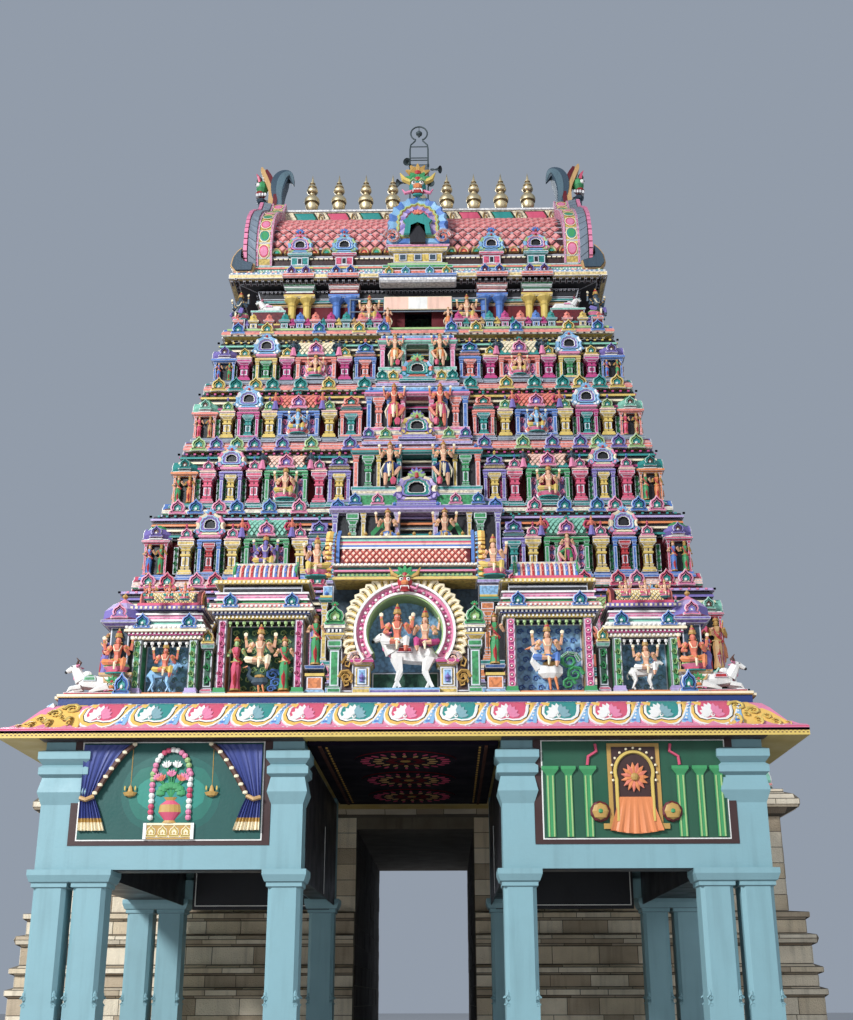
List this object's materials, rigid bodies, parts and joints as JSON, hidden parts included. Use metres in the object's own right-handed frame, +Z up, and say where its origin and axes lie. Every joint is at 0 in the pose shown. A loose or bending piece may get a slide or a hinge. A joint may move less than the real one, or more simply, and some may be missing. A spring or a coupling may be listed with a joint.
{
  "type": "gopuram",
  "caption": "South Indian temple gateway tower: columned street porch, stone base with a passage, stepped painted storeys with doorways, barrel roof with brass finials.",
  "frame": {"origin": "on the ground, at the middle of the whole footprint of porch and tower", "axes": "+Z up, the street front with the porch faces -Y, +X to the right of a person facing the front"},
  "size_m": [21.1, 23.5, 31.6],
  "materials": {
    "porch_paint": "painted concrete, satin",
    "eave_paint": "painted plaster, satin",
    "band_paint": "painted plaster, satin",
    "ceiling_paint": "painted plaster, matt",
    "centre_paint": "painted plaster, satin",
    "pink_paint": "painted plaster, satin",
    "green_paint": "painted plaster, satin",
    "bull_paint": "painted plaster, satin",
    "granite": "weathered dressed stone",
    "wall_paint": "painted plaster, matt",
    "pavilion_paint": "painted stucco, satin",
    "shrine_paint": "painted stucco, satin",
    "neck_paint": "painted plaster, matt",
    "roof_paint": "painted stucco, satin",
    "gable_paint": "painted stucco, satin",
    "finial_brass": "polished",
    "mast_steel": "painted, weathered",
    "board_paint": "painted sheet"
  },
  "bodies": {
    "root": {"porch_column_front_left": "porch_paint", "porch_twin_columns_front_left": "porch_paint", "porch_column_front_right": "porch_paint", "porch_twin_columns_front_right": "porch_paint", "porch_column_rear_left": "porch_paint", "porch_twin_columns_rear_left": "porch_paint", "porch_column_rear_right": "porch_paint", "porch_twin_columns_rear_right": "porch_paint", "porch_beams_left": "porch_paint", "porch_walls_left": "porch_paint", "pink_niche_left": "pink_paint", "green_niche_left": "green_paint", "bull_left": "bull_paint", "stone_base_left": "granite", "roof_gable_left": "gable_paint", "porch_beams_right": "porch_paint", "porch_walls_right": "porch_paint", "pink_niche_right": "pink_paint", "green_niche_right": "green_paint", "bull_right": "bull_paint", "stone_base_right": "granite", "roof_gable_right": "gable_paint", "porch_roof": "eave_paint", "parapet_band": "band_paint", "porch_ceiling": "ceiling_paint", "centre_pavilion": "centre_paint", "stone_cornice": "granite", "storey_1_walls": "wall_paint", "storey_1_pavilions": "pavilion_paint", "storey_2_walls": "wall_paint", "storey_2_pavilions": "pavilion_paint", "storey_3_walls": "wall_paint", "storey_3_pavilions": "pavilion_paint", "storey_4_walls": "wall_paint", "storey_4_pavilions": "pavilion_paint", "storey_5_walls": "wall_paint", "storey_5_pavilions": "pavilion_paint", "storey_6_walls": "wall_paint", "storey_6_pavilions": "pavilion_paint", "top_cornice": "wall_paint", "shrine_parapet": "shrine_paint", "neck": "neck_paint", "roof_eave": "eave_paint", "roof_vault": "roof_paint", "finials": "finial_brass", "mast": "mast_steel", "sign_board": "board_paint"}
  },
  "joints": []
}
